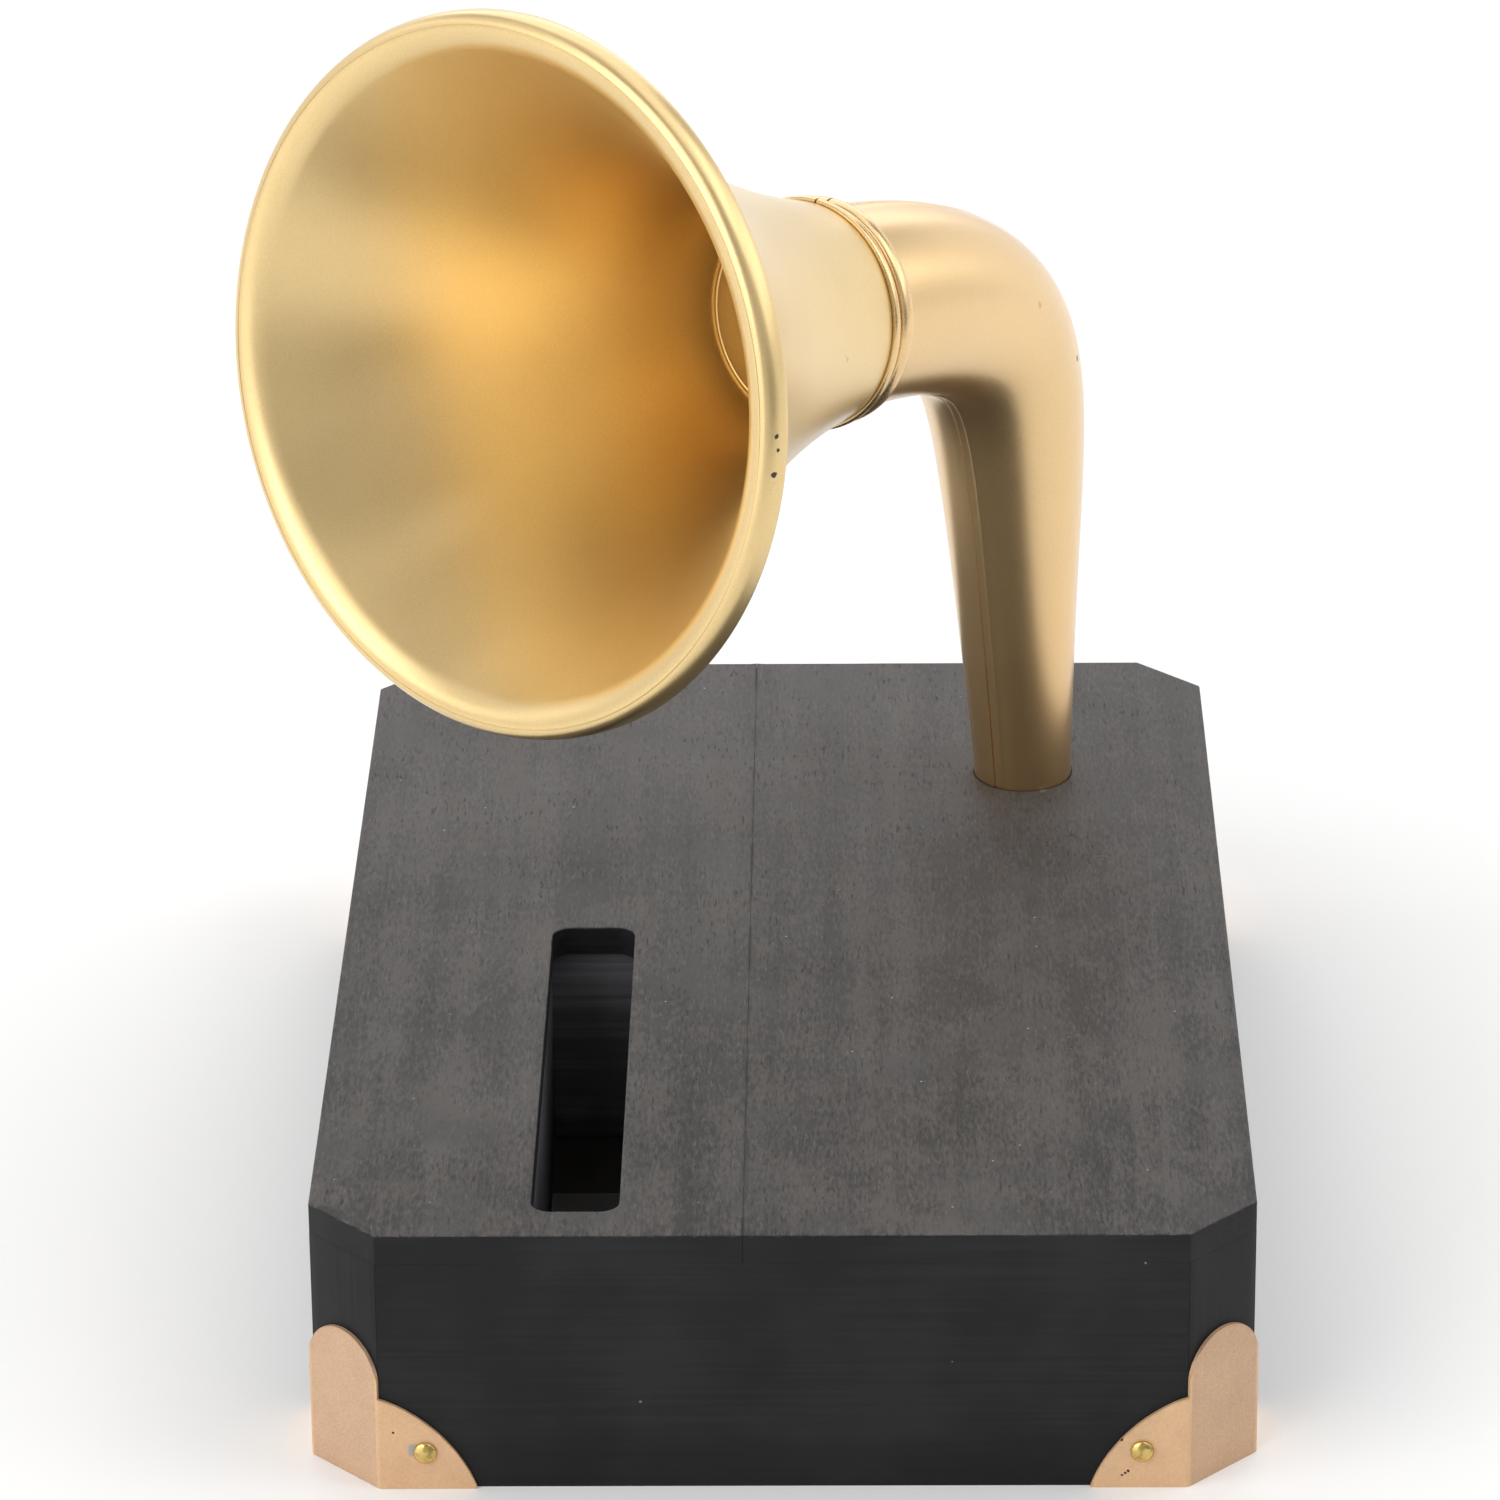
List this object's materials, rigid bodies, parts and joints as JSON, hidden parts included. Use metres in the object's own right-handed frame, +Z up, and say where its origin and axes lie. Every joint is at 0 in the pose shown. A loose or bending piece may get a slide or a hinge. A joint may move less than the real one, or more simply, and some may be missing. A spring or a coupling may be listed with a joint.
{
  "type": "horn loudspeaker",
  "caption": "Gramophone-style passive horn loudspeaker: a low black wooden box with a phone slot in its top and a gold horn on a bent neck that turns and lifts out.",
  "frame": {"origin": "centre of the box's underside, on the surface it stands on", "axes": "+Z up; the box's front end, with the phone slot, faces -Y; +X is to the right seen from the front; the horn's mouth points to the front left"},
  "size_m": [0.1326, 0.1832, 0.1746],
  "materials": {
    "black_stained_wood": "matt black stain, open grain on the top, smoother and darker on the sides",
    "raw_wood": "unfinished inner wood",
    "gold_paint": "satin metallic gold paint over black plastic",
    "copper_paint": "matt copper powder coat with a fine sandy texture",
    "nail_brass": "polished domed heads",
    "screw_steel": "plain steel",
    "felt": "thin black felt"
  },
  "bodies": {
    "base": {"top_board_left": "black_stained_wood", "top_board_right": "black_stained_wood", "front_panel": "black_stained_wood", "right_panel": "black_stained_wood", "rear_panel": "black_stained_wood", "left_panel": "black_stained_wood", "bottom_board": "black_stained_wood", "corner_post_front_left": "black_stained_wood", "corner_post_front_right": "black_stained_wood", "corner_post_rear_left": "black_stained_wood", "corner_post_rear_right": "black_stained_wood", "well_cheek_left": "black_stained_wood", "well_cheek_right": "black_stained_wood", "well_back_stop": "black_stained_wood", "bottom_cleat_left": "raw_wood", "bottom_cleat_right": "raw_wood", "horn_socket": "raw_wood", "phone_pad": "felt", "corner_bracket_front_left": "copper_paint", "corner_bracket_front_right": "copper_paint", "corner_bracket_rear_left": "copper_paint", "corner_bracket_rear_right": "copper_paint", "nail_front_left": "nail_brass", "nail_front_right": "nail_brass", "nail_rear_left": "nail_brass", "nail_rear_right": "nail_brass", "bottom_screw_front_left": "screw_steel", "bottom_screw_front_right": "screw_steel", "bottom_screw_rear_left": "screw_steel", "bottom_screw_rear_right": "screw_steel"},
    "socket_washer": {"socket_felt": "felt"},
    "horn": {"elbow_half_left": "gold_paint", "elbow_half_right": "gold_paint", "throat_sleeve": "gold_paint", "collar_ring": "gold_paint", "horn_bell": "gold_paint"}
  },
  "joints": [
    {"name": "horn_swivel", "type": "hinge", "parent": "base", "child": "socket_washer", "pos_m": [0.0334, 0.0511, 0.036], "axis": [0, 0, 1], "continuous": true},
    {"name": "horn_lift", "type": "slide", "parent": "socket_washer", "child": "horn", "axis": [0, 0, 1], "range_m": [0, 0.021]}
  ]
}
